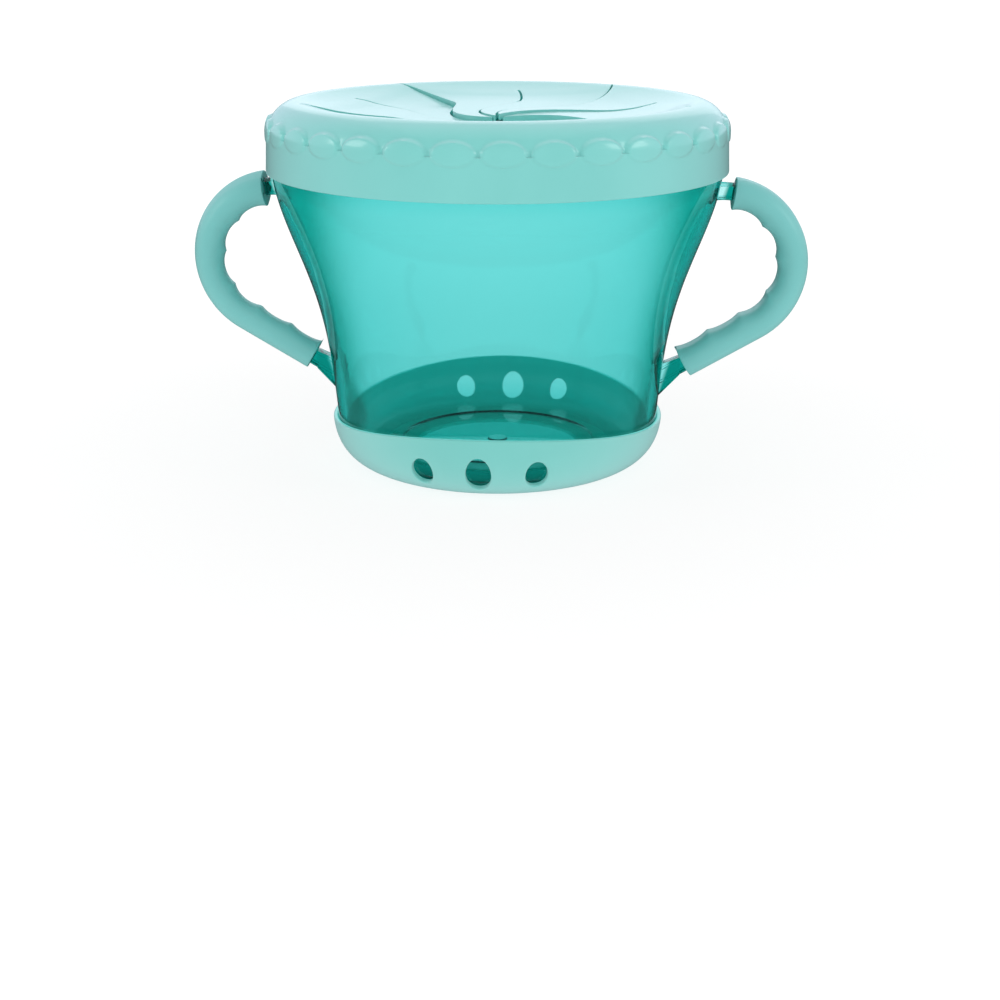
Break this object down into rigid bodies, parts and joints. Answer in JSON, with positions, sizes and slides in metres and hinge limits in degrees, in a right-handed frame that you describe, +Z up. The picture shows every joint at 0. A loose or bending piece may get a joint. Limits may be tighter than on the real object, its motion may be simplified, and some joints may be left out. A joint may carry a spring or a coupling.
{
  "type": "toddler snack container",
  "caption": "Two-handled toddler snack cup with a clear tinted body, soft grips, a non-slip base boot and a push-on lid of spiral flaps.",
  "frame": {"origin": "on the table, under the middle of the cup", "axes": "+X towards the right handle, +Z up, -Y towards the viewer of the picture"},
  "size_m": [0.1464, 0.1074, 0.0856],
  "materials": {
    "clear_cup": "clear tinted moulding, polished",
    "soft_grip": "soft elastomer, satin",
    "soft_boot": "soft elastomer, satin",
    "soft_lid": "soft elastomer, glossy skin",
    "soft_flap": "soft elastomer, glossy skin"
  },
  "bodies": {
    "root": {"cup": "clear_cup", "left_grip": "soft_grip", "right_grip": "soft_grip", "base_boot": "soft_boot"},
    "lid": {"lid": "soft_lid"},
    "flap_1": {"flap_1": "soft_flap"},
    "flap_2": {"flap_2": "soft_flap"},
    "flap_3": {"flap_3": "soft_flap"},
    "flap_4": {"flap_4": "soft_flap"},
    "flap_5": {"flap_5": "soft_flap"},
    "flap_6": {"flap_6": "soft_flap"},
    "flap_7": {"flap_7": "soft_flap"},
    "flap_8": {"flap_8": "soft_flap"},
    "flap_9": {"flap_9": "soft_flap"},
    "flap_10": {"flap_10": "soft_flap"}
  },
  "joints": [
    {"name": "lid_lift", "type": "slide", "parent": "root", "child": "lid", "axis": [0, 0, 1], "range_m": [0, 0.045]},
    {"name": "flap_1_bend", "type": "hinge", "parent": "lid", "child": "flap_1", "pos_m": [0.02619, 0.03782, 0.08487], "axis": [1, -0.0042, 0], "range_deg": [-42, 48], "stiffness_Nm_per_rad": 0.02},
    {"name": "flap_2_bend", "type": "hinge", "parent": "lid", "child": "flap_2", "pos_m": [0.00248, 0.03792, 0.08487], "axis": [0.999, 0.0437, 0], "range_deg": [-42.5, 47.5], "stiffness_Nm_per_rad": 0.02},
    {"name": "flap_3_bend", "type": "hinge", "parent": "lid", "child": "flap_3", "pos_m": [-0.02788, 0.03659, 0.08487], "axis": [0.3131, 0.9497, 0], "range_deg": [-45, 45], "stiffness_Nm_per_rad": 0.02},
    {"name": "flap_4_bend", "type": "hinge", "parent": "lid", "child": "flap_4", "pos_m": [-0.0353, 0.01407, 0.08487], "axis": [0.2672, 0.9637, 0], "range_deg": [-44.5, 45.5], "stiffness_Nm_per_rad": 0.02},
    {"name": "flap_5_bend", "type": "hinge", "parent": "lid", "child": "flap_5", "pos_m": [-0.04342, -0.0152, 0.08487], "axis": [-0.8065, 0.5912, 0], "range_deg": [-44.5, 45.5], "stiffness_Nm_per_rad": 0.02},
    {"name": "flap_6_bend", "type": "hinge", "parent": "lid", "child": "flap_6", "pos_m": [-0.02429, -0.02922, 0.08487], "axis": [-0.8339, 0.5519, 0], "range_deg": [-46, 44], "stiffness_Nm_per_rad": 0.02},
    {"name": "flap_7_bend", "type": "hinge", "parent": "lid", "child": "flap_7", "pos_m": [0.00104, -0.04599, 0.08487], "axis": [-0.8115, -0.5843, 0], "range_deg": [-57, 33], "stiffness_Nm_per_rad": 0.02},
    {"name": "flap_8_bend", "type": "hinge", "parent": "lid", "child": "flap_8", "pos_m": [0.02029, -0.03213, 0.08487], "axis": [-0.7826, -0.6226, 0], "range_deg": [-54, 36], "stiffness_Nm_per_rad": 0.02},
    {"name": "flap_9_bend", "type": "hinge", "parent": "lid", "child": "flap_9", "pos_m": [0.04406, -0.01322, 0.08487], "axis": [0.305, -0.9524, 0], "range_deg": [-42.5, 47.5], "stiffness_Nm_per_rad": 0.02},
    {"name": "flap_10_bend", "type": "hinge", "parent": "lid", "child": "flap_10", "pos_m": [0.03683, 0.00936, 0.08487], "axis": [0.3503, -0.9366, 0], "range_deg": [-41.5, 48.5], "stiffness_Nm_per_rad": 0.02}
  ]
}
